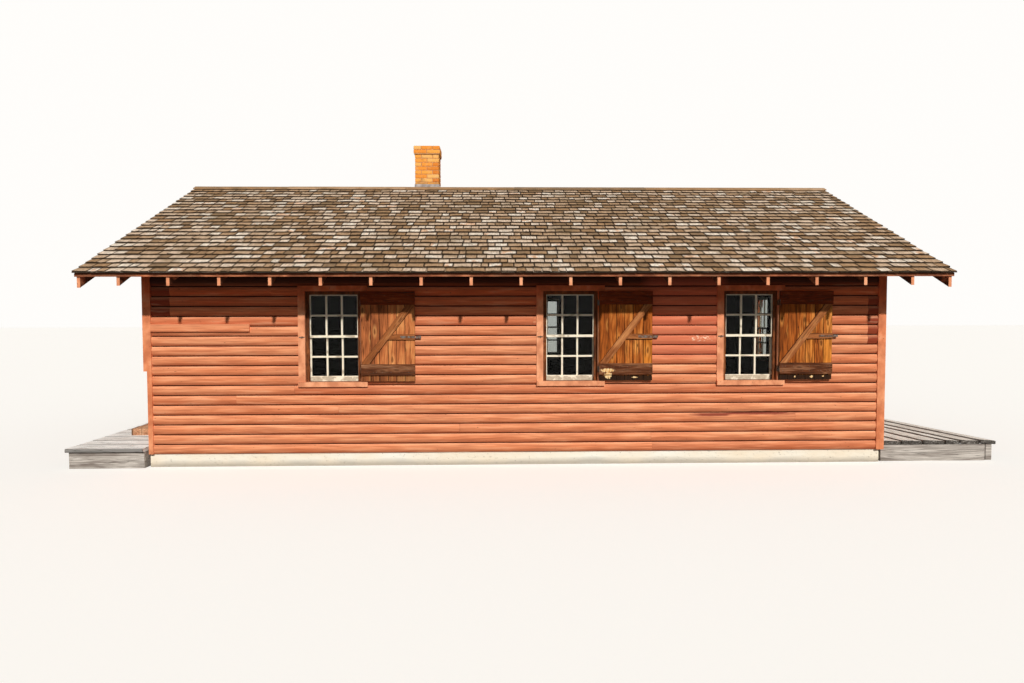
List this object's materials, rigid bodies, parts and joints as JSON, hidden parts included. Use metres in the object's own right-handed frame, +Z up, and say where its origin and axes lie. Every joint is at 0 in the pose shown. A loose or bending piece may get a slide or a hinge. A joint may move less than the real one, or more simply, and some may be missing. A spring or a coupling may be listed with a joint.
{
  "type": "log cabin",
  "caption": "Single-storey log-sided cabin with a shingled gable roof, brick chimney, shuttered sash windows and a plank deck.",
  "frame": {"origin": "on the ground, in the middle of the underside of the front foundation wall", "axes": "+X along the front wall to the right, +Y from the front wall to the back, +Z up"},
  "size_m": [12.4546, 7.036, 4.896],
  "materials": {
    "concrete": "weathered cast concrete, cracked",
    "floor_boards": "worn boards",
    "inner_wall": "plain boards",
    "red_siding": "faded red paint on half-round siding",
    "red_trim": "faded red paint on sawn boards",
    "roof_boards": "stained boards",
    "shingle": "weathered split shingles",
    "brick": "orange brick with pale joints",
    "flashing": "weathered sheet",
    "cream_sash": "cream paint",
    "window_glass": "old clear glass",
    "shutter_wood": "bare weathered boards",
    "iron": "dark rusted iron",
    "grey_timber": "silver grey weathered timber",
    "brown_timber": "reddish brown timber"
  },
  "bodies": {
    "house": {"foundation": "concrete", "floor": "floor_boards", "front_wall": "inner_wall", "back_wall": "inner_wall", "left_wall": "inner_wall", "right_wall": "inner_wall", "front_siding": "red_siding", "back_siding": "red_siding", "left_siding": "red_siding", "right_siding": "red_siding", "corner_boards": "red_trim", "rafters": "red_trim", "barge_rafters": "red_trim", "ridge_board": "red_trim", "roof_trims": "red_trim", "window_casings": "red_trim", "window_jambs": "red_trim", "door_frames": "red_trim", "doors": "red_trim", "front_roof_boards": "roof_boards", "back_roof_boards": "roof_boards", "front_shingles": "shingle", "back_shingles": "shingle", "ridge_cap": "shingle", "chimney_stack": "brick", "chimney_cap": "brick", "chimney_flashing": "flashing", "window_sashes": "cream_sash", "window_glass": "window_glass", "back_shutters": "shutter_wood", "gable_shutters": "shutter_wood", "hinge_pins": "iron", "shutter_hooks": "iron", "back_shutter_irons": "iron", "right_deck_planks": "grey_timber", "right_deck_sleepers": "grey_timber", "left_landing_planks": "grey_timber", "left_landing_sleepers": "grey_timber", "left_step": "brown_timber"},
    "left_shutter": {"left_shutter": "shutter_wood", "left_shutter_irons": "iron"},
    "middle_shutter": {"middle_shutter": "shutter_wood", "middle_shutter_irons": "iron"},
    "right_shutter": {"right_shutter": "shutter_wood", "right_shutter_irons": "iron"}
  },
  "joints": [
    {"name": "left_shutter_hinge", "type": "hinge", "parent": "house", "child": "left_shutter", "pos_m": [-2.09, -0.151, 1.718], "axis": [0, 0, -1], "range_deg": [0, 180]},
    {"name": "middle_shutter_hinge", "type": "hinge", "parent": "house", "child": "middle_shutter", "pos_m": [1.046, -0.151, 1.718], "axis": [0, 0, -1], "range_deg": [0, 180]},
    {"name": "right_shutter_hinge", "type": "hinge", "parent": "house", "child": "right_shutter", "pos_m": [3.457, -0.151, 1.718], "axis": [0, 0, -1], "range_deg": [0, 180]}
  ]
}
